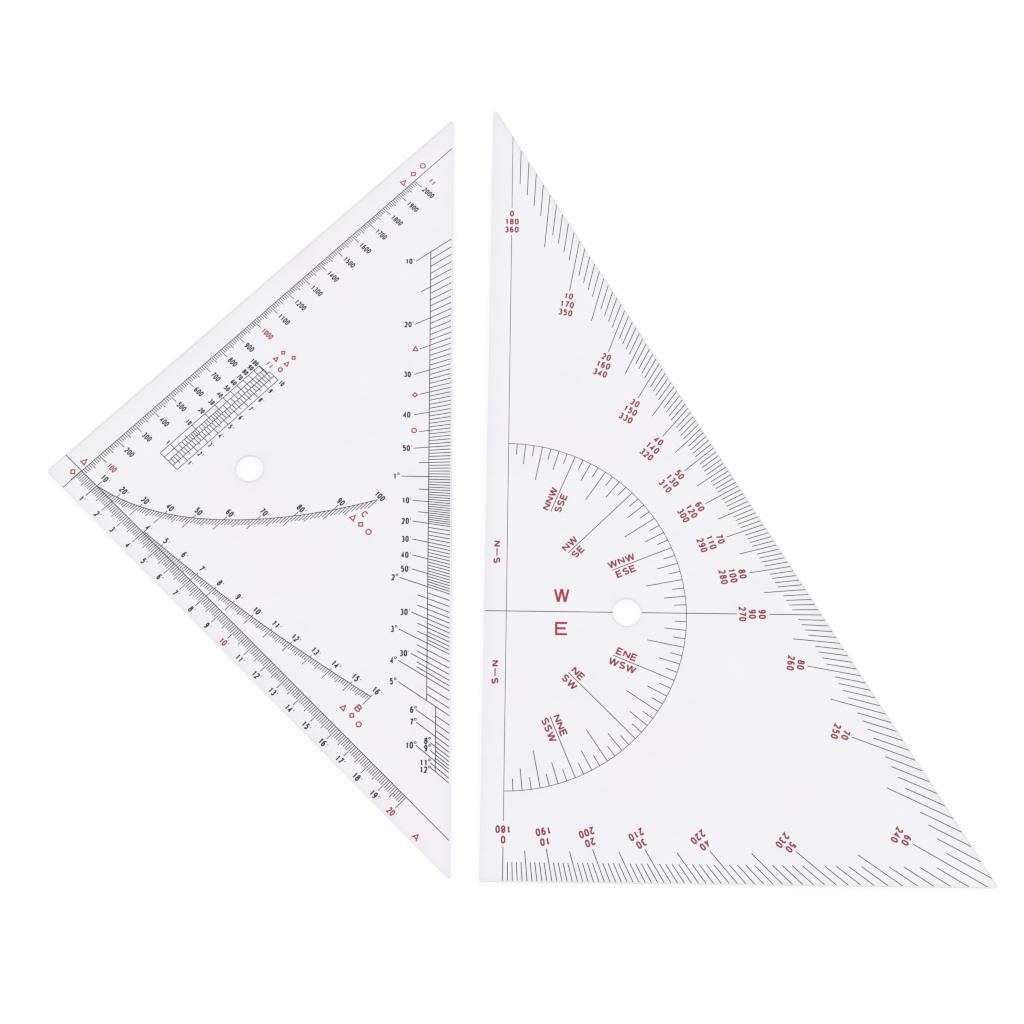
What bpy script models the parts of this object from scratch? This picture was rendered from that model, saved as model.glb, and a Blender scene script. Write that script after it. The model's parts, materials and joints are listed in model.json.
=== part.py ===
"""Pair of navigator's set squares: a 45 degree plate and a 30/60 degree plate, lying side by side.

Each set square is one flat sheet of clear acrylic, cut to a triangle with softened tips and
edges, and drilled with one hanging hole. The 45 degree plate's hypotenuse is the guide along
which the long leg of the 30/60 degree plate slides. Metres, +Z up, both plates resting on z = 0,
origin at the middle of the pair's box. The guide edge runs along Y.
"""

import math

import bpy
from mathutils import Matrix, Vector

# Driving dimensions, in metres.
THICKNESS = 0.002
LEG_45 = 0.2465
SHORT_LEG_60 = 0.2052
SQUARE_CORNER_RADIUS_45 = 0.002
TIP_RADIUS = 0.0008
EDGE_BEVEL = 0.0003
HOLE_DIAMETER = 0.012
HOLE_45_ASIDE = 0.0007  # off the plate's centre line, towards its upper tip
HOLE_60_FROM_LONG_LEG = 0.0595
HOLE_60_FROM_SHORT_LEG = 0.1112

# How the two plates lie beside each other.
GAP = 0.0115  # from the guide edge to the square corner of the 30/60 plate
CORNER_DROP = 0.0004  # how far that corner lies below the guide edge's lower tip
TURN_60 = math.radians(-1.18)

# Fineness of the round stretches.
TIP_SEGMENTS = 12
HOLE_SEGMENTS = 64
BEVEL_SEGMENTS = 2
CUTTER_OVERSHOOT = 0.002
SMOOTH_ANGLE = math.radians(30)

ACRYLIC_COLOUR = (0.93, 0.92, 0.95, 1.0)
ACRYLIC_ROUGHNESS = 0.08
ACRYLIC_IOR = 1.49
ACRYLIC_ALPHA = 0.35

# Derived sizes.
GUIDE_LENGTH = LEG_45 * math.sqrt(2)
HEIGHT_45 = GUIDE_LENGTH / 2
LONG_LEG_60 = SHORT_LEG_60 * math.sqrt(3)


def clear_scene():
    for old in list(bpy.data.objects):
        bpy.data.objects.remove(old, do_unlink=True)


def clear_acrylic(name):
    material = bpy.data.materials.new(name)
    material.use_nodes = True
    shader = material.node_tree.nodes["Principled BSDF"]
    shader.inputs["Base Color"].default_value = ACRYLIC_COLOUR
    shader.inputs["Roughness"].default_value = ACRYLIC_ROUGHNESS
    shader.inputs["Metallic"].default_value = 0.0
    shader.inputs["IOR"].default_value = ACRYLIC_IOR
    shader.inputs["Alpha"].default_value = ACRYLIC_ALPHA
    return material


def softened_outline(corners, radii):
    """The corners, listed anticlockwise, each replaced by an arc of its own radius."""
    points = []
    for index, (corner, radius) in enumerate(zip(corners, radii)):
        before = (corners[index - 1] - corner).normalized()
        after = (corners[(index + 1) % len(corners)] - corner).normalized()
        half_angle = before.angle(after) / 2
        centre = corner + (before + after).normalized() * radius / math.sin(half_angle)
        first = corner + before * radius / math.tan(half_angle) - centre
        sweep = math.pi - 2 * half_angle
        for step in range(TIP_SEGMENTS + 1):
            turn = Matrix.Rotation(sweep * step / TIP_SEGMENTS, 2)
            points.append(centre + turn @ first)
    return points


def mid_of_box(outlines):
    """The middle of the box around several outlines."""
    xs = [point.x for outline in outlines for point in outline]
    ys = [point.y for outline in outlines for point in outline]
    return Vector(((min(xs) + max(xs)) / 2, (min(ys) + max(ys)) / 2))


def slab(name, outline, bottom, top):
    """A closed slab over an anticlockwise outline, from one height to another."""
    count = len(outline)
    vertices = [(p.x, p.y, z) for z in (bottom, top) for p in outline]
    faces = [tuple(reversed(range(count))), tuple(range(count, 2 * count))]
    for index in range(count):
        following = (index + 1) % count
        faces.append((index, following, count + following, count + index))
    mesh = bpy.data.meshes.new(name)
    mesh.from_pydata(vertices, [], faces)
    mesh.update()
    item = bpy.data.objects.new(name, mesh)
    bpy.context.collection.objects.link(item)
    return item


def hole_cutter(name, centre):
    """A hidden cylinder, longer than the plate is thick, that cuts the hanging hole."""
    radius = HOLE_DIAMETER / 2
    angles = [2 * math.pi * step / HOLE_SEGMENTS for step in range(HOLE_SEGMENTS)]
    outline = [centre + radius * Vector((math.cos(a), math.sin(a))) for a in angles]
    cutter = slab(name, outline, -CUTTER_OVERSHOOT, THICKNESS + CUTTER_OVERSHOOT)
    cutter.hide_render = True
    cutter.display_type = "WIRE"
    return cutter


def plate(name, outline, hole_centre, placement, material):
    """One set square: a softened slab with its hanging hole, moved to its place."""
    item = slab(name, outline, 0.0, THICKNESS)
    item.matrix_world = placement
    item.data.materials.append(material)
    cutter = hole_cutter(name + "_hole_cutter", hole_centre)
    cutter.matrix_world = placement
    cut = item.modifiers.new("hanging_hole", "BOOLEAN")
    cut.operation = "DIFFERENCE"
    cut.object = cutter
    soften = item.modifiers.new("softened_edges", "BEVEL")
    soften.width = EDGE_BEVEL
    soften.segments = BEVEL_SEGMENTS
    soften.limit_method = "ANGLE"
    soften.angle_limit = SMOOTH_ANGLE
    item.data.shade_smooth()
    item.data.set_sharp_from_angle(angle=SMOOTH_ANGLE)
    return item


def corners_45():
    """Guide edge from (0, 0) up to (0, GUIDE_LENGTH), right-angled corner to its left."""
    return [
        Vector((0.0, 0.0)),
        Vector((0.0, GUIDE_LENGTH)),
        Vector((-HEIGHT_45, GUIDE_LENGTH / 2)),
    ]


def corners_60():
    """Square corner at (0, 0), short leg along X and long leg along Y."""
    return [Vector((0.0, 0.0)), Vector((SHORT_LEG_60, 0.0)), Vector((0.0, LONG_LEG_60))]


def main():
    clear_scene()
    radii_45 = (TIP_RADIUS, TIP_RADIUS, SQUARE_CORNER_RADIUS_45)
    radii_60 = (TIP_RADIUS, TIP_RADIUS, TIP_RADIUS)
    outline_45 = softened_outline(corners_45(), radii_45)
    outline_60 = softened_outline(corners_60(), radii_60)
    beside = Matrix.Translation((GAP, -CORNER_DROP, 0.0)) @ Matrix.Rotation(TURN_60, 4, "Z")
    laid_60 = [(beside @ point.to_3d()).to_2d() for point in outline_60]
    to_origin = Matrix.Translation(-mid_of_box([outline_45, laid_60]).to_3d())
    hole_45 = Vector((-HEIGHT_45 / 2, GUIDE_LENGTH / 2 + HOLE_45_ASIDE))
    hole_60 = Vector((HOLE_60_FROM_LONG_LEG, HOLE_60_FROM_SHORT_LEG))
    plate("set_square_45", outline_45, hole_45, to_origin, clear_acrylic("acrylic_45"))
    plate("set_square_60", outline_60, hole_60, to_origin @ beside, clear_acrylic("acrylic_60"))


main()
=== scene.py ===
"""Looks for a pair of clear navigator's set squares: acrylic, printed scales, and a plain studio.

Lengths are in metres, but the print is laid out in millimetres, in print frames of its own. The
45 degree plate's frames start where its two ruled axes cross, and the 30/60 degree plate's frame
starts where its compass lines cross. All print is drawn with pens of constant width.
"""

import json
import math
from collections import namedtuple

import bpy
from mathutils import Matrix, Vector


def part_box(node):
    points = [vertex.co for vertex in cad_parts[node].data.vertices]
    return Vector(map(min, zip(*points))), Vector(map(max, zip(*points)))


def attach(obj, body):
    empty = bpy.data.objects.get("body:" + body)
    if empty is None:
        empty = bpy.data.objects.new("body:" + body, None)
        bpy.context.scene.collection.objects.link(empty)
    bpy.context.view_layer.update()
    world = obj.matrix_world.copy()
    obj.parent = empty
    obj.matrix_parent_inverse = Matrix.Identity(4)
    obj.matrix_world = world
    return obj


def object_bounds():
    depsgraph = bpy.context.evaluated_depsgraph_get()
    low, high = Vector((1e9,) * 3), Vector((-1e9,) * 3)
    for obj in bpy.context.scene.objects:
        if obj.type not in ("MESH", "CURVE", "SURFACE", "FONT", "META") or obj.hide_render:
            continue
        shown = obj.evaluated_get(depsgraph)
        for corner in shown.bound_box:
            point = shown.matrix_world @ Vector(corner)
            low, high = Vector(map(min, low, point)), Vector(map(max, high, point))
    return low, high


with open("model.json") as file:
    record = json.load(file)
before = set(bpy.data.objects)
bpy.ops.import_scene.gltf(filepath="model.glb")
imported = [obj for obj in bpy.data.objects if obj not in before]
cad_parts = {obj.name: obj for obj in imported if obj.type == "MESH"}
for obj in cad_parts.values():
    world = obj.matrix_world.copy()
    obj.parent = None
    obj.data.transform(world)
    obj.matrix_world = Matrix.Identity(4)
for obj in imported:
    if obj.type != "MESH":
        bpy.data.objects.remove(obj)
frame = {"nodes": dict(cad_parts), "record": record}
cad_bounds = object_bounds()

MM = 0.001


# ---------------------------------------------------------------- pens and lettering styles

# Widths of the ruled lines, in millimetres.
FINE_PEN = 0.26
RING_PEN = 0.28
SIGN_PEN = 0.33
TICK_PEN = 0.34
RAY_PEN = 0.37

# How characters are set, in millimetres: their outer size, the width of their strokes, and in
# words, the distance from one character to the next.
Style = namedtuple("Style", "width height stroke advance", defaults=[0.0])
DIGITS = Style(1.5, 2.85, 0.59, 1.7)
HEIGHT_DIGITS = Style(1.38, 2.75, 0.53, 1.57)
SMALL_DIGITS = Style(1.2, 2.4, 0.53, 1.34)
DEGREE_DIGITS = Style(1.86, 3.15, 0.67, 2.23)
COMPASS_WORDS = Style(2.72, 3.12, 0.67, 3.08)
UNIT_LETTER = Style(1.3, 2.4, 0.53)
FIRST_SCALE_NAME = Style(3.1, 2.95, 0.53)
SCALE_NAME = Style(2.6, 3.0, 0.59)
LARGE_W = Style(6.6, 6.0, 0.98)
LARGE_E = Style(5.5, 5.8, 0.98)
LINE_LETTER = Style(2.65, 2.95, 0.67)
LINE_DASH = Style(3.8, 2.95, 0.53)
MARK_STROKE = 0.56

# How many times wider than the rest some letters are in a word.
BREADTHS = {"W": 1.55, "N": 1.08}

# The inks' places in a scale's list of materials.
BLACK, RED, DARK_RED = 0, 1, 2


# ---------------------------------------------------------------- characters

BOW_STEP = 22.5  # degrees of an ellipse to one straight piece


def bow(x, y, across, up, start, end):
    """Points along an ellipse, from one angle to another in degrees, anticlockwise from +X."""
    steps = max(2, round(abs(end - start) / BOW_STEP))
    angles = [math.radians(start + (end - start) * step / steps) for step in range(steps + 1)]
    return [(x + across * math.cos(a), y + up * math.sin(a)) for a in angles]


def upside_down(strokes):
    return [[(1 - x, 1 - y) for x, y in stroke] for stroke in strokes]


# Each character is a list of strokes in a unit box that has (0, 0) at its lower left.
SIX = [
    bow(0.5, 0.3, 0.46, 0.3, 0, 360),
    bow(0.55, 0.58, 0.51, 0.42, 50, 180) + [(0.04, 0.3)],
]
CHARACTERS = {
    "0": [bow(0.5, 0.66, 0.5, 0.34, 0, 180) + bow(0.5, 0.34, 0.5, 0.34, 180, 360) + [(1, 0.66)]],
    "1": [[(0.2, 0.74), (0.6, 0.9)], [(0.6, 1.0), (0.6, 0.0)]],
    "2": [bow(0.5, 0.7, 0.46, 0.3, 165, -28) + [(0.02, 0.0), (1.0, 0.0)]],
    "3": [bow(0.47, 0.76, 0.42, 0.24, 150, -90), bow(0.47, 0.26, 0.5, 0.26, 90, -150)],
    "4": [[(0.76, 0.0), (0.76, 1.0), (0.0, 0.28), (1.0, 0.28)]],
    "5": [[(0.92, 1.0), (0.16, 1.0), (0.08, 0.5)], bow(0.47, 0.33, 0.5, 0.33, 145, -150)],
    "6": SIX,
    "7": [[(0.0, 1.0), (1.0, 1.0), (0.32, 0.0)]],
    "8": [bow(0.5, 0.76, 0.42, 0.24, -90, 270), bow(0.5, 0.27, 0.5, 0.27, 90, 450)],
    "9": upside_down(SIX),
    "A": [[(0.0, 0.0), (0.5, 1.0), (1.0, 0.0)], [(0.17, 0.32), (0.83, 0.32)]],
    "B": [
        [(0.0, 0.54), (0.0, 1.0), *bow(0.5, 0.77, 0.42, 0.23, 90, -90), (0.0, 0.54)],
        [(0.0, 0.54), (0.0, 0.0), *bow(0.52, 0.27, 0.48, 0.27, -90, 90), (0.0, 0.54)],
    ],
    "C": [bow(0.52, 0.5, 0.52, 0.5, 45, 315)],
    "E": [[(1.0, 1.0), (0.0, 1.0), (0.0, 0.0), (1.0, 0.0)], [(0.0, 0.52), (0.88, 0.52)]],
    "N": [[(0.0, 0.0), (0.0, 1.0)], [(0.02, 0.98), (0.98, 0.02)], [(1.0, 0.0), (1.0, 1.0)]],
    "S": [bow(0.5, 0.75, 0.48, 0.25, 30, 270) + bow(0.5, 0.25, 0.5, 0.25, 90, -150)[1:]],
    "W": [
        [(0.0, 1.0), (0.22, 0.0), (0.28, 0.0), (0.47, 0.95)]
        + [(0.53, 0.95), (0.72, 0.0), (0.78, 0.0), (1.0, 1.0)]
    ],
    "f": [[(0.34, 0.0), *bow(0.66, 0.78, 0.32, 0.22, 180, 80)], [(0.0, 0.62), (0.8, 0.62)]],
    "t": [[(0.36, 1.0), *bow(0.68, 0.22, 0.32, 0.22, 180, 280)], [(0.0, 0.68), (0.85, 0.68)]],
    "-": [[(0.0, 0.5), (1.0, 0.5)]],
    "ring": [bow(0.5, 0.5, 0.5, 0.5, 0, 360)],
    "diamond": [[(0.5, 0.0), (1.0, 0.5), (0.5, 1.0), (0.0, 0.5), (0.5, 0.0)]],
    "triangle": [[(0.0, 0.0), (1.0, 0.0), (0.5, 1.0), (0.0, 0.0)]],
}


# ---------------------------------------------------------------- ink on a plate

INK_DEPTH = 0.02 * MM  # below the plate's top face
INK_THICKNESS = 0.01 * MM
SHARPEST_MITRE = 0.5  # a bend reaches out no further than half the pen's width over this


def ribbon(points, width):
    """A flat strip of constant width along a path, closed where the path ends at its start."""
    closed = len(points) > 2 and (points[0] - points[-1]).length < width / 100
    if closed:
        points = points[:-1]
    count = len(points)
    corners = []
    for index, point in enumerate(points):
        into = (point - points[index - 1]).normalized()
        away = (points[(index + 1) % count] - point).normalized()
        if not closed and index == 0:
            into = away
        if not closed and index == count - 1:
            away = into
        across = (into + away).normalized().orthogonal()
        reach = width / 2 / max(SHARPEST_MITRE, across.dot(into.orthogonal()))
        corners += [point + across * reach, point - across * reach]
    spans = count if closed else count - 1
    total = len(corners)
    faces = []
    for span in range(spans):
        here = 2 * span
        ahead = (here + 2) % total
        faces.append((here, here + 1, ahead + 1, ahead))
    return corners, faces


class Scale:
    """One printed scale: thin closed shapes in up to three inks, riding on one plate."""

    def __init__(self, name, plate, print_frame):
        self.name = name
        self.plate = plate
        self.print_frame = print_frame
        self.corners = []
        self.faces = []
        self.inks = []

    def path(self, points, pen, ink=BLACK):
        corners, faces = ribbon([Vector(point) for point in points], pen)
        first = len(self.corners)
        self.corners += corners
        self.faces += [tuple(first + corner for corner in face) for face in faces]
        self.inks += [ink] * len(faces)

    def line(self, start, end, pen=TICK_PEN, ink=BLACK):
        self.path([start, end], pen, ink)

    def character(self, sign, centre, style, ink=BLACK, turn=0.0):
        """One character, turned anticlockwise about its centre."""
        spin = Matrix.Rotation(turn, 2)
        across = style.width - style.stroke
        up = style.height - style.stroke
        for points in CHARACTERS[sign]:
            offsets = [Vector(((x - 0.5) * across, (y - 0.5) * up)) for x, y in points]
            self.path([Vector(centre) + spin @ offset for offset in offsets], style.stroke, ink)

    def word(self, signs, centre, style, ink=BLACK, turn=0.0):
        """Characters in a row, centred on a point, an advance apart unless one is broader."""
        along = Matrix.Rotation(turn, 2) @ Vector((1.0, 0.0))
        gap = style.advance - style.width
        widths = [style.width * BREADTHS.get(sign, 1.0) for sign in signs]
        left = -(sum(widths) + gap * (len(signs) - 1)) / 2
        for sign, width in zip(signs, widths):
            place = Vector(centre) + along * (left + width / 2)
            self.character(sign, place, style._replace(width=width), ink, turn)
            left += width + gap

    def finish(self):
        """The scale as a piece: every flat shape thickened into a closed layer of ink."""
        mesh = bpy.data.meshes.new(self.name)
        flat = [self.print_frame @ (corner * MM).to_3d() for corner in self.corners]
        mesh.from_pydata(flat, [], self.faces)
        for material in (ink_black, ink_red, ink_dark_red):
            mesh.materials.append(material)
        mesh.polygons.foreach_set("material_index", self.inks)
        mesh.update()
        piece = bpy.data.objects.new(self.name, mesh)
        bpy.context.scene.collection.objects.link(piece)
        layer = piece.modifiers.new("ink_layer", "SOLIDIFY")
        layer.thickness = INK_THICKNESS
        layer.offset = -1.0
        # The ink would otherwise leave a faint smudge on the floor below each line.
        piece.visible_shadow = False
        piece.visible_diffuse = False
        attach(piece, self.plate.body)


# ---------------------------------------------------------------- signs and marks

MINUTE_SIGN_GAP = 0.65
MINUTE_SIGN_DROP = 0.25
MINUTE_SIGN_LENGTH = 0.65
MINUTE_SIGN_LEAN = 0.08
DEGREE_SIGN_GAP = 0.8
DEGREE_SIGN_DROP = 0.35
DEGREE_SIGN_RADIUS = 0.4


def half_width(number, style):
    """Half the width of a number, which is given as text."""
    return (style.width + (len(number) - 1) * style.advance) / 2


def minute_sign(scale, number, centre, ink=BLACK, style=DIGITS):
    """The small leaning stroke after a number of minutes."""
    x = centre[0] + half_width(number, style) + MINUTE_SIGN_GAP
    top = centre[1] + style.height / 2 - MINUTE_SIGN_DROP
    head = (x + MINUTE_SIGN_LEAN, top)
    foot = (x - MINUTE_SIGN_LEAN, top - MINUTE_SIGN_LENGTH)
    scale.line(head, foot, FINE_PEN, ink)


def degree_sign(scale, number, centre):
    """The small ring after a number of degrees."""
    x = centre[0] + half_width(number, DIGITS) + DEGREE_SIGN_GAP
    y = centre[1] + DIGITS.height / 2 - DEGREE_SIGN_DROP
    scale.path(bow(x, y, DEGREE_SIGN_RADIUS, DEGREE_SIGN_RADIUS, 0, 360), SIGN_PEN)


def feet_sign(scale, f_place, t_place):
    """The unit of a scale of heights."""
    scale.character("f", f_place, UNIT_LETTER, RED)
    scale.character("t", t_place, UNIT_LETTER, RED)


def marks(scale, places, size):
    """Plain red marks, one at each place, in turn a triangle, a diamond and a ring."""
    kinds = ("triangle", "diamond", "ring")
    for index, place in enumerate(places):
        scale.character(kinds[index % 3], place, Style(size, size, MARK_STROKE), RED)


def tenths(step, minor, middle, major):
    """How far a division line reaches: every fifth further, and every tenth furthest."""
    if step % 10 == 0:
        return major
    return middle if step % 5 == 0 else minor


# ---------------------------------------------------------------- parts of materials


def new_material(name):
    material = bpy.data.materials.new(name)
    material.use_nodes = True
    nodes = material.node_tree.nodes
    nodes.clear()
    return material, nodes, material.node_tree.links


def noise(nodes, links, scale, detail):
    """Noise over the object's own coordinates, in metres."""
    place = nodes.new("ShaderNodeTexCoord")
    texture = nodes.new("ShaderNodeTexNoise")
    texture.inputs["Scale"].default_value = scale
    texture.inputs["Detail"].default_value = detail
    links.new(place.outputs["Object"], texture.inputs["Vector"])
    return texture.outputs["Fac"]


def ramp(nodes, links, value, stops):
    """A colour for each level of a value, from two stops."""
    node = nodes.new("ShaderNodeValToRGB")
    links.new(value, node.inputs["Fac"])
    for element, (position, colour) in zip(node.color_ramp.elements, stops):
        element.position = position
        element.color = (*colour, 1.0)
    return node.outputs["Color"]


def between(nodes, links, value, low, high, from_low=0.3, from_high=0.7):
    """A number that follows a value from one limit to another."""
    node = nodes.new("ShaderNodeMapRange")
    node.inputs["From Min"].default_value = from_low
    node.inputs["From Max"].default_value = from_high
    node.inputs["To Min"].default_value = low
    node.inputs["To Max"].default_value = high
    links.new(value, node.inputs["Value"])
    return node.outputs["Result"]


def bump(nodes, links, height, strength, distance):
    """A surface direction that follows a value taken as a height."""
    node = nodes.new("ShaderNodeBump")
    node.inputs["Strength"].default_value = strength
    node.inputs["Distance"].default_value = distance
    links.new(height, node.inputs["Height"])
    return node.outputs["Normal"]


def put_on_surface(nodes, links, shader):
    output = nodes.new("ShaderNodeOutputMaterial")
    links.new(shader, output.inputs["Surface"])


# ---------------------------------------------------------------- ink, acrylic and paper

ACRYLIC_IOR = 1.49

# The sockets of a Mix node that mixes colours.
MIX_FACTOR, MIX_FIRST, MIX_SECOND, MIX_RESULT = 0, 6, 7, 2


def printing_ink(name, thin_colour, full_colour):
    """Screen-printed ink: slightly uneven cover and a faint orange-peel surface."""
    material, nodes, links = new_material(name)
    shader = nodes.new("ShaderNodeBsdfPrincipled")
    shader.inputs["Specular IOR Level"].default_value = 0.2
    cover = noise(nodes, links, scale=2600.0, detail=3.0)
    colour = ramp(nodes, links, cover, [(0.3, thin_colour), (0.6, full_colour)])
    links.new(colour, shader.inputs["Base Color"])
    sheen = noise(nodes, links, scale=900.0, detail=2.0)
    links.new(between(nodes, links, sheen, low=0.45, high=0.65), shader.inputs["Roughness"])
    peel = bump(nodes, links, cover, strength=0.15, distance=0.02 * MM)
    links.new(peel, shader.inputs["Normal"])
    put_on_surface(nodes, links, shader.outputs["BSDF"])
    return material


def sheet_tint(nodes, links, geometry):
    """What the sheet lets through: nearly everything by its faces, and less by its cut edges as
    painted shade.
    """
    parts = nodes.new("ShaderNodeSeparateXYZ")
    links.new(geometry.outputs["True Normal"], parts.inputs["Vector"])
    level = nodes.new("ShaderNodeMath")
    level.operation = "ABSOLUTE"
    links.new(parts.outputs["Z"], level.inputs[0])
    edge = between(
        nodes, links, level.outputs["Value"], low=1.0, high=0.0, from_low=0.7, from_high=0.98
    )
    cloud = noise(nodes, links, scale=14.0, detail=2.0)
    face_stops = [(0.3, (0.9768, 0.9718, 0.982)), (0.7, (0.9758, 0.9738, 0.978))]
    # The cut edges' darker tint, with a faint random spread, is painted shade for how refraction
    # greys a clear sheet's edges.
    edge_shade_noise = noise(nodes, links, scale=700.0, detail=3.0)
    edge_shade_stops = [(0.3, (0.81, 0.81, 0.835)), (0.7, (0.87, 0.87, 0.89))]
    tint = nodes.new("ShaderNodeMix")
    tint.data_type = "RGBA"
    links.new(edge, tint.inputs[MIX_FACTOR])
    links.new(ramp(nodes, links, cloud, face_stops), tint.inputs[MIX_FIRST])
    links.new(ramp(nodes, links, edge_shade_noise, edge_shade_stops), tint.inputs[MIX_SECOND])
    return tint.outputs[MIX_RESULT]


def worn_gloss(nodes, links):
    """A gloss with fine wear and a faint swell in it."""
    gloss = nodes.new("ShaderNodeBsdfGlossy")
    wear = noise(nodes, links, scale=320.0, detail=6.0)
    links.new(between(nodes, links, wear, low=0.04, high=0.16), gloss.inputs["Roughness"])
    swell = noise(nodes, links, scale=60.0, detail=2.0)
    waves = bump(nodes, links, swell, strength=0.05, distance=0.1 * MM)
    links.new(waves, gloss.inputs["Normal"])
    return gloss.outputs["BSDF"]


def outer_mirror(nodes, links, geometry):
    """How much the sheet mirrors, which is nothing from its inside."""
    fresnel = nodes.new("ShaderNodeFresnel")
    fresnel.inputs["IOR"].default_value = ACRYLIC_IOR
    outside = nodes.new("ShaderNodeMath")
    outside.operation = "SUBTRACT"
    outside.inputs[0].default_value = 1.0
    links.new(geometry.outputs["Backfacing"], outside.inputs[1])
    mirror = nodes.new("ShaderNodeMath")
    mirror.operation = "MULTIPLY"
    links.new(fresnel.outputs["Fac"], mirror.inputs[0])
    links.new(outside.outputs["Value"], mirror.inputs[1])
    return mirror.outputs["Value"]


def acrylic(name):
    """Clear cast sheet: nearly colourless faces, cut edges greyed with painted shade, fine wear in
    the gloss.
    """
    material, nodes, links = new_material(name)
    geometry = nodes.new("ShaderNodeNewGeometry")
    through = nodes.new("ShaderNodeBsdfTransparent")
    links.new(sheet_tint(nodes, links, geometry), through.inputs["Color"])
    surface = nodes.new("ShaderNodeMixShader")
    links.new(outer_mirror(nodes, links, geometry), surface.inputs["Fac"])
    links.new(through.outputs["BSDF"], surface.inputs[1])
    links.new(worn_gloss(nodes, links), surface.inputs[2])
    put_on_surface(nodes, links, surface.outputs["Shader"])
    return material


def paper(name):
    """Matt white studio paper with a barely visible mottle."""
    material, nodes, links = new_material(name)
    shader = nodes.new("ShaderNodeBsdfDiffuse")
    mottle = noise(nodes, links, scale=40.0, detail=3.0)
    colour = ramp(nodes, links, mottle, [(0.3, (0.9, 0.9, 0.9)), (0.7, (0.93, 0.93, 0.93))])
    links.new(colour, shader.inputs["Color"])
    put_on_surface(nodes, links, shader.outputs["BSDF"])
    return material


ink_black = printing_ink("ink_black", (0.02, 0.02, 0.022), (0.006, 0.006, 0.007))
ink_red = printing_ink("ink_red", (0.42, 0.03, 0.055), (0.36, 0.016, 0.036))
ink_dark_red = printing_ink("ink_dark_red", (0.31, 0.02, 0.05), (0.26, 0.01, 0.035))


# ---------------------------------------------------------------- the plates and their print frames

# Where each print frame starts on its plate, in metres, and how the 30/60 degree plate is turned.
ORIGIN_45_FROM_GUIDE = 159.29 * MM
ORIGIN_45_BELOW_MIDDLE = 0.25 * MM
HOLE_60_FROM_COMPASS = Vector((50.28, 0.27)) * MM
TURN_60 = math.radians(-1.18)


class Plate:
    """A packed plate, with the body it rides on, its finish and the height of its print."""

    def __init__(self, node, body, slot):
        self.node = node
        self.body = body
        self.slot = slot
        self.low, self.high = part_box(node)
        self.ink_height = self.high.z - INK_DEPTH

    def print_frame(self, origin, turn):
        """A frame just under the top face, turned anticlockwise from the shared axes."""
        place = Matrix.Translation((origin[0], origin[1], self.ink_height))
        return place @ Matrix.Rotation(turn, 4, "Z")

    def dress(self):
        """Gives the plate its acrylic."""
        item = frame["nodes"][self.node]
        item.material_slots[0].material = acrylic(self.slot)


def hole_centre(name):
    """The middle of a hanging hole, from its opening in the record."""
    openings = frame["record"]["physics"]["openings"]
    low, high = next(entry["box_m"] for entry in openings if entry["name"] == name)
    return Vector(((low[0] + high[0]) / 2, (low[1] + high[1]) / 2))


plate_45 = Plate("set_square_45", "square_45", "acrylic_45")
plate_60 = Plate("set_square_60", "square_60", "acrylic_60")
origin_45 = (
    plate_45.high.x - ORIGIN_45_FROM_GUIDE,
    (plate_45.low.y + plate_45.high.y) / 2 - ORIGIN_45_BELOW_MIDDLE,
)
origin_60 = hole_centre("hanging_hole_60") - Matrix.Rotation(TURN_60, 2) @ HOLE_60_FROM_COMPASS

# On the 45 degree plate, "ruled" has its axes along the two legs, and "upright" has them across
# and along the guide edge.
ruled_45 = plate_45.print_frame(origin_45, math.radians(-45))
upright_45 = plate_45.print_frame(origin_45, 0.0)
compass_60 = plate_60.print_frame(origin_60, TURN_60)


# ---------------------------------------------------------------- two straight scales

AXIS_START = -10.4
AXIS_END = 224.3
DIVISIONS = 200  # each of them a millimetre

HEIGHT_AXIS = 0.05
HEIGHT_ZERO = 0.2
HEIGHT_TICKS = (2.4, 3.4, 4.75)
HEIGHT_LABEL_LEFT = 5.9
HEIGHT_LABEL_RISE = 0.1
HEIGHT_UNIT = ((5.3, 205.7), (7.2, 205.7))
HEIGHT_MARKS = [(-3.0, 196.3), (-3.0, 202.4), (-3.0, 208.4), (-2.4, 4.0), (-2.4, -2.7)]

DISTANCE_AXIS = 0.25
DISTANCE_ZERO = -0.15
DISTANCE_TICKS = (3.4, 4.5, 5.8)
DISTANCE_LABEL_SHIFT = -0.3
DISTANCE_LABEL_Y = -7.95
DISTANCE_NAME = (213.9, -8.0)


def height_scale():
    """Heights in feet beside the upper leg, ten feet to a division."""
    scale = Scale("height_scale", plate_45, ruled_45)
    scale.line((HEIGHT_AXIS, AXIS_START), (HEIGHT_AXIS, AXIS_END))
    for step in range(DIVISIONS + 1):
        y = HEIGHT_ZERO + step
        scale.line((HEIGHT_AXIS, y), (tenths(step, *HEIGHT_TICKS), y))
        if step and step % 10 == 0:
            number = str(step * 10)
            x = HEIGHT_LABEL_LEFT + half_width(number, HEIGHT_DIGITS)
            ink = RED if step in (10, 100) else BLACK
            scale.word(number, (x, y + HEIGHT_LABEL_RISE), HEIGHT_DIGITS, ink)
    feet_sign(scale, *HEIGHT_UNIT)
    marks(scale, HEIGHT_MARKS, size=2.9)
    scale.finish()


def distance_scale():
    """Scale A: twenty minutes beside the lower leg, ten divisions to a minute."""
    scale = Scale("distance_scale", plate_45, ruled_45)
    scale.line((AXIS_START, DISTANCE_AXIS), (AXIS_END, DISTANCE_AXIS))
    for step in range(DIVISIONS + 1):
        x = DISTANCE_ZERO + step
        scale.line((x, DISTANCE_AXIS), (x, -tenths(step, *DISTANCE_TICKS)))
        if step and step % 10 == 0:
            number = str(step // 10)
            centre = (x + DISTANCE_LABEL_SHIFT, DISTANCE_LABEL_Y)
            ink = RED if step in (100, 200) else BLACK
            scale.word(number, centre, DIGITS, ink)
            minute_sign(scale, number, centre, ink)
    scale.character("A", DISTANCE_NAME, FIRST_SCALE_NAME, RED)
    scale.finish()


# ---------------------------------------------------------------- two curved scales

CURVE_SHIFT = -0.05

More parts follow.
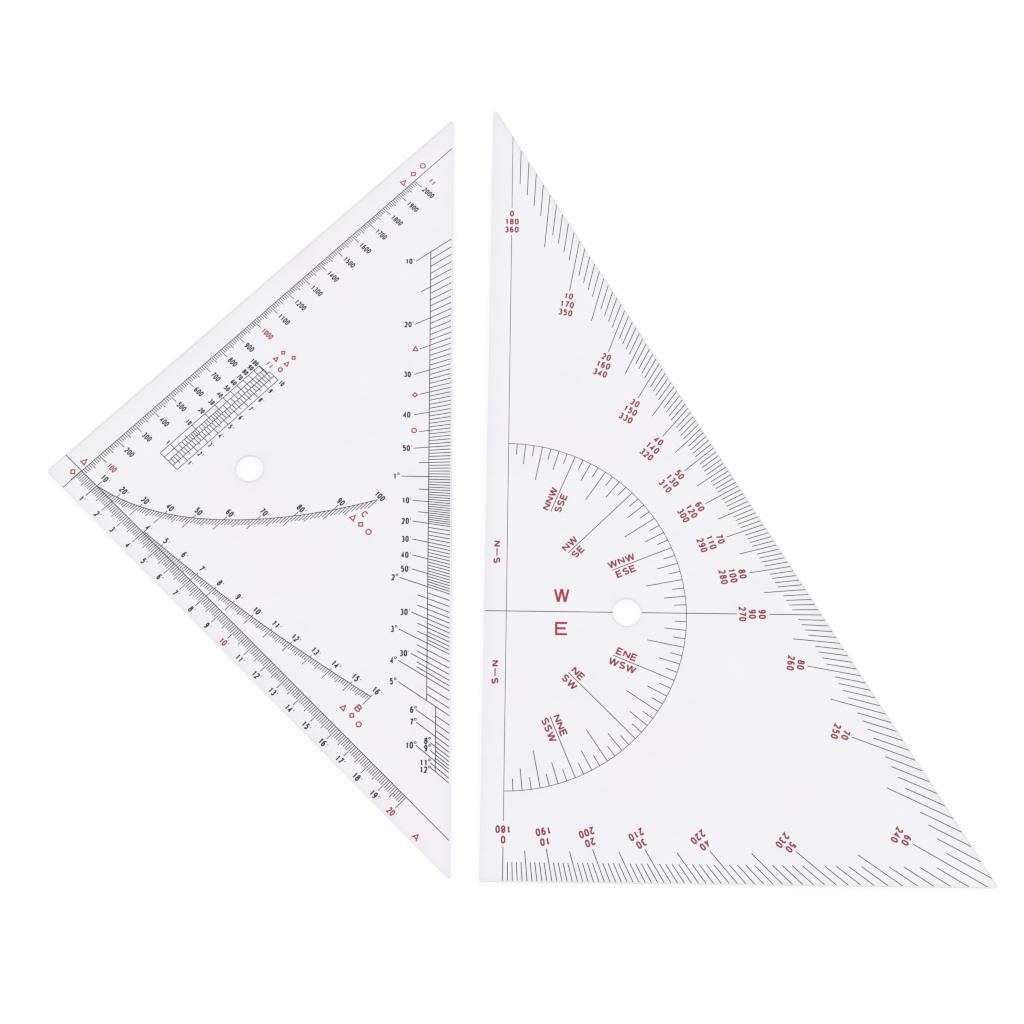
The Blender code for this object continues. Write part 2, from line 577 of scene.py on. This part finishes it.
NEAR_STEPS = range(40, 161)
NEAR_TICKS = (2.25, 3.0, 4.5)
NEAR_STUB = 1.0  # above the curve, at a numbered division
NEAR_LABEL_SHIFT = -0.3
NEAR_LABEL_RISE = 3.3
NEAR_LOWER_RISES = {40: 2.3, 50: 2.9}
NEAR_NAME = (159.9, 11.9)
NEAR_MARKS = [(155.3, 8.0), (160.1, 8.0), (164.8, 7.4)]

FAR_STEPS = range(10, 101)
FAR_TICKS = (2.4, 3.2, 6.2)
FAR_SHORTER_TICKS = {30: 5.6, 100: 5.6}
FAR_SHORTEST_STUB = 1.5  # at 40 minutes
FAR_LABEL_SHIFT = -0.35
FAR_LABEL_GAP = 1.9  # from a stub's end up to its label's middle
FAR_NAME = (100.9, 71.95)
FAR_MARKS = [(98.5, 67.6), (103.0, 67.6), (107.8, 67.6)]


def near_height(x):
    """How high curve B runs, in millimetres, at a distance in tens of millimetres."""
    return 0.0765 * x**2 - 5 / x**2 - 0.7 * (x / 16) ** 8


def far_height(x):
    """How high curve C runs, in millimetres, at a distance in tens of millimetres."""
    return 0.779 * x**2 - 0.5 / x**2 + 2.4 * (x / 10) ** 9


def curve_points(height, steps):
    """The points of a curve, one at each of its divisions."""
    return [(step + CURVE_SHIFT, height(step / 10)) for step in steps]


def near_curve():
    """Curve B, from 4 to 16 minutes, with a division to each tenth of a minute."""
    scale = Scale("near_curve", plate_45, ruled_45)
    points = curve_points(near_height, NEAR_STEPS)
    scale.path(points, TICK_PEN)
    for step, (x, y) in zip(NEAR_STEPS, points):
        stub = NEAR_STUB if step % 10 == 0 else 0.0
        scale.line((x, y + stub), (x, y - tenths(step, *NEAR_TICKS)))
        if step % 10 == 0:
            number = str(step // 10)
            rise = NEAR_LOWER_RISES.get(step, NEAR_LABEL_RISE)
            centre = (x + NEAR_LABEL_SHIFT, y + rise)
            scale.word(number, centre, DIGITS)
            minute_sign(scale, number, centre)
    scale.character("B", NEAR_NAME, SCALE_NAME, RED)
    marks(scale, NEAR_MARKS, size=2.6)
    scale.finish()


def far_slope(x):
    """The slope of curve C at a distance in tens of millimetres."""
    nearby = 0.01
    rise = far_height(x + nearby) - far_height(x - nearby)
    return rise / (2 * nearby * 10)


def far_tick(step):
    """How far down a division of curve C reaches: a plain one further where the curve is steep."""
    minor, middle, major = FAR_TICKS
    steepness = math.hypot(1.0, far_slope(step / 10))
    major = FAR_SHORTER_TICKS.get(step, major)
    return tenths(step, minor * steepness, middle * steepness, major)


def far_stub(step):
    """How far up a division of curve C reaches, which lifts its label clear of the curve."""
    if step % 10 or step == FAR_STEPS[-1]:
        return 0.0
    past_forty = step / 10 - 4
    growth = 0.26 * past_forty if past_forty > 0 else 0.14 * past_forty**2
    return FAR_SHORTEST_STUB + growth


def far_curve():
    """Curve C, from 10 to 100 minutes, with a division to each minute."""
    scale = Scale("far_curve", plate_45, ruled_45)
    points = curve_points(far_height, FAR_STEPS)
    scale.path(points, TICK_PEN)
    for step, (x, y) in zip(FAR_STEPS, points):
        top = y + far_stub(step)
        scale.line((x, top), (x, y - far_tick(step)))
        if step % 10 == 0:
            number = str(step)
            centre = (x + FAR_LABEL_SHIFT, top + FAR_LABEL_GAP)
            scale.word(number, centre, DIGITS)
            minute_sign(scale, number, centre)
    scale.character("C", FAR_NAME, SCALE_NAME, RED)
    marks(scale, FAR_MARKS, size=2.8)
    scale.finish()


# ---------------------------------------------------------------- the dip table

DIP_START = 29.39
DIP_MINUTE = 5.906  # along the table, to a minute of dip
DIP_MINUTES = 10
DIP_AT_ONE_FOOT = 0.975  # in minutes

# The table's five long lines, and where other lines and labels end.
FEET_EDGE = 17.85
FEET_TICKS = 20.5
MIDDLE_EDGE = 23.1
QUARTER_TICKS = 26.05
MINUTE_TICKS = 28.8
FIVE_FEET_TICK = 19.2
HALF_TICKS = 27.3
FEET_END = 87.4
DIP_END = 88.45
FEET_LABEL_RIGHT = 17.05
DIP_LABEL_LEFT = 29.7
DIP_UNIT = ((19.8, 90.8), (21.75, 90.8))
DIP_MARKS = [(20.7, 94.9), (20.7, 99.0), (25.8, 92.5), (25.8, 96.6), (25.8, 100.5)]

LABELLED_HEIGHTS = [1, *range(10, 101, 10)]
OTHER_HEIGHTS = [*range(2, 10), *range(12, 20, 2), *range(22, 30, 2), *range(35, 100, 10)]


def dip_place(height):
    """Where a height of eye in feet stands in the table: its dip grows as its square root."""
    return DIP_START + DIP_MINUTE * DIP_AT_ONE_FOOT * math.sqrt(height)


def dip_outline(scale):
    """The table's long lines, and both ends of its half with the heights."""
    for x in (FEET_EDGE, FEET_TICKS, MIDDLE_EDGE, QUARTER_TICKS, MINUTE_TICKS):
        end = FEET_END if x < MIDDLE_EDGE else DIP_END
        scale.line((x, DIP_START), (x, end))
    for y in (DIP_START, FEET_END):
        scale.line((FEET_EDGE, y), (MIDDLE_EDGE, y))


def eye_heights(scale):
    """The half of the table with the heights of eye in feet."""
    for height in LABELLED_HEIGHTS:
        y = dip_place(height)
        scale.line((FEET_EDGE, y), (MIDDLE_EDGE, y))
        number = str(height)
        x = FEET_LABEL_RIGHT - half_width(number, SMALL_DIGITS)
        scale.word(number, (x, y), SMALL_DIGITS)
    for height in OTHER_HEIGHTS:
        y = dip_place(height)
        start = FIVE_FEET_TICK if height == 5 else FEET_TICKS
        scale.line((start, y), (MIDDLE_EDGE, y))


def dips(scale):
    """The half of the table with the dips, in quarters of a minute."""
    ends = (MINUTE_TICKS, QUARTER_TICKS, HALF_TICKS, QUARTER_TICKS)
    for step in range(4 * DIP_MINUTES + 1):
        y = DIP_START + DIP_MINUTE * step / 4
        scale.line((MIDDLE_EDGE, y), (ends[step % 4], y))
        if step and step % 4 == 0:
            number = str(step // 4)
            centre = (DIP_LABEL_LEFT + half_width(number, SMALL_DIGITS), y)
            scale.word(number, centre, SMALL_DIGITS)
            if len(number) == 1:
                minute_sign(scale, number, centre, style=SMALL_DIGITS)


def dip_table():
    """Height of eye in feet against dip in minutes, as one double scale."""
    scale = Scale("dip_table", plate_45, ruled_45)
    dip_outline(scale)
    eye_heights(scale)
    dips(scale)
    feet_sign(scale, *DIP_UNIT)
    marks(scale, DIP_MARKS, size=2.4)
    scale.finish()


# ---------------------------------------------------------------- the angle scale

RAY_END = 158.6
RAY_STRETCH = 60.07  # a ray's tangent, from the upper leg, over that of the angle it stands for
FIRST_BASE = 149.35
SECOND_BASE = 153.1
BASE_LINES = ((FIRST_BASE, 105.3, -101.4), (SECOND_BASE, -104.2, -130.9))

# Where the rays start that stick out past their base line: first those up to 5 degrees.
DEGREE_START = 137.4
LABELLED_START = 142.6
UNLABELLED_START = 145.05
ROOMY_DEGREES = (6, 7, 10)
ROOMY_START = 145.1
CROWDED_DEGREES = (8, 9, 11, 12)
CROWDED_START = 151.0

ANGLE_LABEL_RISE = 0.05
CROWDED_LABEL_RISES = {8: 0.7, 9: 1.0, 12: -1.0}
ANGLE_MARKS = [(143.0, 57.0), (143.0, 34.7), (142.8, 17.9)]


def ray_slope(minutes):
    """The slope of the ray for a vertical angle in minutes of arc."""
    angle = math.radians(minutes / 60)
    return math.tan(math.radians(45) - math.atan(RAY_STRETCH * math.tan(angle)))


def ray_minutes():
    """The vertical angles that have a ray, closer together where the rays lie further apart."""
    steps = [*range(10, 80), *range(80, 120, 2), *range(120, 180, 5), *range(180, 240, 10)]
    return steps + [*range(240, 301, 20), *range(330, 601, 30), 660, 720]


def labelled_minutes():
    """The vertical angles that have a label."""
    return [*range(10, 120, 10), 120, 150, 180, 210, *range(240, 721, 60)]


def ray_start(minutes):
    """Where a ray starts, furthest left for the first few whole degrees."""
    if minutes / 60 in ROOMY_DEGREES:
        return ROOMY_START
    if minutes > 300:
        return CROWDED_START if minutes / 60 in CROWDED_DEGREES else SECOND_BASE
    if minutes % 60 == 0:
        return DEGREE_START
    if minutes in labelled_minutes():
        return LABELLED_START
    if minutes % 10 == 0 and minutes < 240 or minutes % 5 == 0 and minutes < 80:
        return UNLABELLED_START
    return FIRST_BASE


def label_gap(minutes):
    """How far a label ends from its ray's start."""
    if minutes % 60:
        return 1.45
    return 1.85 if minutes <= 300 else 1.05


def angle_label(scale, minutes):
    """A whole number of degrees or of minutes, just left of its ray's start."""
    in_degrees = minutes % 60 == 0
    number = str(minutes // 60 if in_degrees else minutes % 60)
    start = ray_start(minutes)
    x = start - label_gap(minutes) - half_width(number, DIGITS)
    rise = ANGLE_LABEL_RISE + CROWDED_LABEL_RISES.get(minutes / 60, 0.0)
    centre = (x, start * ray_slope(minutes) + rise)
    scale.word(number, centre, DIGITS)
    sign = degree_sign if in_degrees else minute_sign
    sign(scale, number, centre)


def angle_scale():
    """The vertical angles along the guide edge, as rays that all come from the axes' crossing."""
    scale = Scale("angle_scale", plate_45, upright_45)
    for x, top, bottom in BASE_LINES:
        scale.line((x, top), (x, bottom), RAY_PEN)
    for minutes in ray_minutes():
        slope = ray_slope(minutes)
        start = ray_start(minutes)
        scale.line((start, start * slope), (RAY_END, RAY_END * slope), RAY_PEN)
    for minutes in labelled_minutes():
        angle_label(scale, minutes)
    marks(scale, ANGLE_MARKS, size=2.6)
    scale.finish()


# ---------------------------------------------------------------- the compass

RING_RADIUS = 75.2
POINTS = 64

# Where the compass points' lines start: for odd points, then for odd multiples of 2, 4, 8 and 16.
POINT_STARTS = (70.2, 66.2, 59.8, 48.0, 36.6)

# The two long lines, each broken once: for the labels of zero, and for the hanging hole.
NORTH_SOUTH = ((228.5, 191.0), (177.0, -87.1))
WEST_EAST = ((-8.9, 44.4), (56.5, 96.3))

WORD_RISE = 2.5
TWO_LETTER_RADIUS = 39.9
THREE_LETTER_RADIUS = 53.2
OPPOSITE_POINTS = (
    (22.5, "NNW", "SSE"),
    (45.0, "NW", "SE"),
    (67.5, "WNW", "ESE"),
    (112.5, "ENE", "WSW"),
    (135.0, "NE", "SW"),
    (157.5, "NNE", "SSW"),
)
WEST = (23.1, 7.2)
EAST = (23.1, -7.3)

# The name of the north-south line, which stands beside it twice, reading upwards.
LINE_NAME = (("S", -3.7, LINE_LETTER), ("-", 0.0, LINE_DASH), ("N", 3.7, LINE_LETTER))
LINE_NAME_X = -4.3
LINE_NAME_MIDDLES = (25.85, -26.2)


def polar(radius, bearing):
    """A point at a radius and at a bearing in degrees clockwise from north."""
    angle = math.radians(bearing)
    return Vector((math.sin(angle), math.cos(angle))) * radius


def point_start(point):
    """The inner radius of a compass point's line, or None for the point on the long line."""
    for level, radius in enumerate(POINT_STARTS, start=1):
        if point % 2**level:
            return radius
    return None


def compass_ring():
    """North-south and east-west lines, and a half ring of compass points."""
    scale = Scale("compass_ring", plate_60, compass_60)
    for start, end in NORTH_SOUTH:
        scale.line((0.0, start), (0.0, end), FINE_PEN)
    for start, end in WEST_EAST:
        scale.line((start, 0.0), (end, 0.0))
    scale.path([polar(RING_RADIUS, degrees) for degrees in range(181)], RING_PEN)
    for point in range(1, POINTS):
        inner = point_start(point)
        if inner:
            bearing = point * 180 / POINTS
            scale.line(polar(inner, bearing), polar(RING_RADIUS, bearing))
    scale.finish()


def compass_word(scale, name, bearing, side):
    """The name of a compass point beside its line, reading outwards."""
    radius = TWO_LETTER_RADIUS if len(name) == 2 else THREE_LETTER_RADIUS
    centre = polar(radius, bearing) + polar(WORD_RISE, bearing - 90) * side
    scale.word(name, centre, COMPASS_WORDS, DARK_RED, math.radians(90 - bearing))


def compass_letters():
    """Names of the compass points, in pairs of opposite points along the same line."""
    scale = Scale("compass_letters", plate_60, compass_60)
    for bearing, left, right in OPPOSITE_POINTS:
        compass_word(scale, left, bearing, 1)
        compass_word(scale, right, bearing, -1)
    scale.character("W", WEST, LARGE_W, RED)
    scale.character("E", EAST, LARGE_E, RED)
    for middle in LINE_NAME_MIDDLES:
        for sign, offset, style in LINE_NAME:
            place = (LINE_NAME_X, middle + offset)
            scale.character(sign, place, style, DARK_RED, math.radians(90))
    scale.finish()


# ---------------------------------------------------------------- the protractor

SLANT = math.radians(30)
SLANT_DRIFT = 0.006  # inwards, over the distance along the edge
LAST_ON_SLANT = 119  # the last bearing, in degrees, whose line ends at the slanted edge

# How far the degree lines start and end from the compass, square to the edge that they meet.
SLANT_STARTS = (104.8, 98.4, 97.4)
LONGER_SLANT_STARTS = {0: 95.4, 90: 95.2}
SLANT_END = 113.9
FOOT_STARTS = (103.3, 98.8, 97.8)
LONGER_FOOT_STARTS = {120: 94.1, 180: 97.3}
FOOT_END = 110.6

FIRST_ROW_GAP = 2.7
ROW_SPACING = 4.12


def slant_radius(distance, bearing, drift=0.0):
    """The radius at which a bearing meets a line at a distance inside the slanted edge.

    Below the middle of the edge, the line may drift slightly inwards.
    """
    beyond = math.radians(bearing) + SLANT - math.pi / 2
    along = max(0.0, distance * math.tan(beyond))
    return (distance - drift * along) / math.cos(beyond)


def foot_radius(distance, bearing):
    """The radius at which a bearing meets a line at a distance above the short leg."""
    return distance / math.cos(math.radians(180 - bearing))


def degree_ends(bearing):
    """The inner and outer radius of a degree line."""
    if bearing <= LAST_ON_SLANT:
        start = LONGER_SLANT_STARTS.get(bearing, tenths(bearing, *SLANT_STARTS))
        return slant_radius(start, bearing, SLANT_DRIFT), slant_radius(SLANT_END, bearing)
    start = LONGER_FOOT_STARTS.get(bearing, tenths(bearing, *FOOT_STARTS))
    return foot_radius(start, bearing), foot_radius(FOOT_END, bearing)


def degree_labels(scale, bearing, inner):
    """The bearings that a degree line stands for, in two or three rows inside it."""
    rows = [180 - bearing, 360 - bearing]
    if bearing <= 90:
        rows.insert(0, bearing)
    for row, value in enumerate(rows):
        centre = polar(inner - FIRST_ROW_GAP - ROW_SPACING * row, bearing)
        scale.word(str(value), centre, DEGREE_DIGITS, DARK_RED, math.radians(-bearing))


def degree_scale():
    """A protractor along the slanted edge and the short leg."""
    scale = Scale("degree_scale", plate_60, compass_60)
    for bearing in range(181):
        inner, outer = degree_ends(bearing)
        if bearing > 0:  # the north-south line stands for zero
            scale.line(polar(inner, bearing), polar(outer, bearing))
        if bearing % 10 == 0:
            degree_labels(scale, bearing, inner)
    scale.finish()


# ---------------------------------------------------------------- studio

FLOOR_GAP = 0.2 * MM
FLOOR_HALF = 3.0

WORLD_STRENGTH = 1.05
LIGHT_STRENGTH = 0.15
LIGHT_SPREAD = math.radians(60)
LIGHT_LEAN_SIDEWAYS = math.radians(35)
LIGHT_LEAN_FORWARDS = math.radians(15)

CAMERA_AIM_OFFSET = Vector((4.4, -19.95, 0.0)) * MM
CAMERA_DISTANCE = 697.16 * MM
CAMERA_TILT = math.radians(19.44)
CAMERA_YAW = math.radians(-0.932)
CAMERA_ROLL = math.radians(0.496)
CAMERA_LENS = 57.48
CAMERA_SENSOR = 36.0


def floor():
    """A wide sheet of paper just under the plates."""
    mesh = bpy.data.meshes.new("floor")
    half = FLOOR_HALF
    low = cad_bounds[0][2] - FLOOR_GAP
    square = [(-half, -half, low), (half, -half, low), (half, half, low), (-half, half, low)]
    mesh.from_pydata(square, [], [(0, 1, 2, 3)])
    mesh.materials.append(paper("studio_paper"))
    item = bpy.data.objects.new("floor", mesh)
    bpy.context.scene.collection.objects.link(item)


def soft_light(name, side):
    """A wide, even light from above, leaned to one side and forwards."""
    light = bpy.data.lights.new(name, "SUN")
    light.energy = LIGHT_STRENGTH
    light.angle = LIGHT_SPREAD
    item = bpy.data.objects.new(name, light)
    item.rotation_euler = (LIGHT_LEAN_FORWARDS, side * LIGHT_LEAN_SIDEWAYS, 0.0)
    bpy.context.scene.collection.objects.link(item)


def white_surroundings():
    """The same white on all sides."""
    world = bpy.data.worlds.new("studio")
    world.use_nodes = True
    background = world.node_tree.nodes["Background"]
    background.inputs["Color"].default_value = (1.0, 1.0, 1.0, 1.0)
    background.inputs["Strength"].default_value = WORLD_STRENGTH
    # No direction is brighter than another, so none has to be favoured.
    world.cycles.sampling_method = "NONE"
    bpy.context.scene.world = world


def studio():
    """White surroundings with a soft light on either side."""
    white_surroundings()
    soft_light("left_light", -1)
    soft_light("right_light", 1)
    scene = bpy.context.scene
    scene.view_settings.view_transform = "Standard"
    # These two keep the thin lines of the print crisp.
    scene.cycles.denoising_prefilter = "NONE"
    scene.cycles.filter_width = 1.35
    # These two keep light that passes through the clear plates free of grain.
    scene.cycles.min_light_bounces = 4
    scene.cycles.min_transparent_bounces = 8


def camera():
    """A view from above, and a little from the reader's side."""
    low, high = Vector(cad_bounds[0]), Vector(cad_bounds[1])
    aim = (low + high) / 2 + CAMERA_AIM_OFFSET
    aim.z = plate_60.ink_height
    yaw = Matrix.Rotation(CAMERA_YAW, 4, "Z")
    tilt = Matrix.Rotation(CAMERA_TILT, 4, "X")
    roll = Matrix.Rotation(CAMERA_ROLL, 4, "Z")
    turn = yaw @ tilt @ roll
    data = bpy.data.cameras.new("camera")
    data.lens = CAMERA_LENS
    data.sensor_width = CAMERA_SENSOR
    item = bpy.data.objects.new("camera", data)
    item.matrix_world = Matrix.Translation(aim + turn @ Vector((0, 0, CAMERA_DISTANCE))) @ turn
    bpy.context.scene.collection.objects.link(item)
    bpy.context.scene.camera = item


camera()
plate_45.dress()
plate_60.dress()
height_scale()
distance_scale()
near_curve()
far_curve()
dip_table()
angle_scale()
compass_ring()
compass_letters()
degree_scale()
floor()
studio()
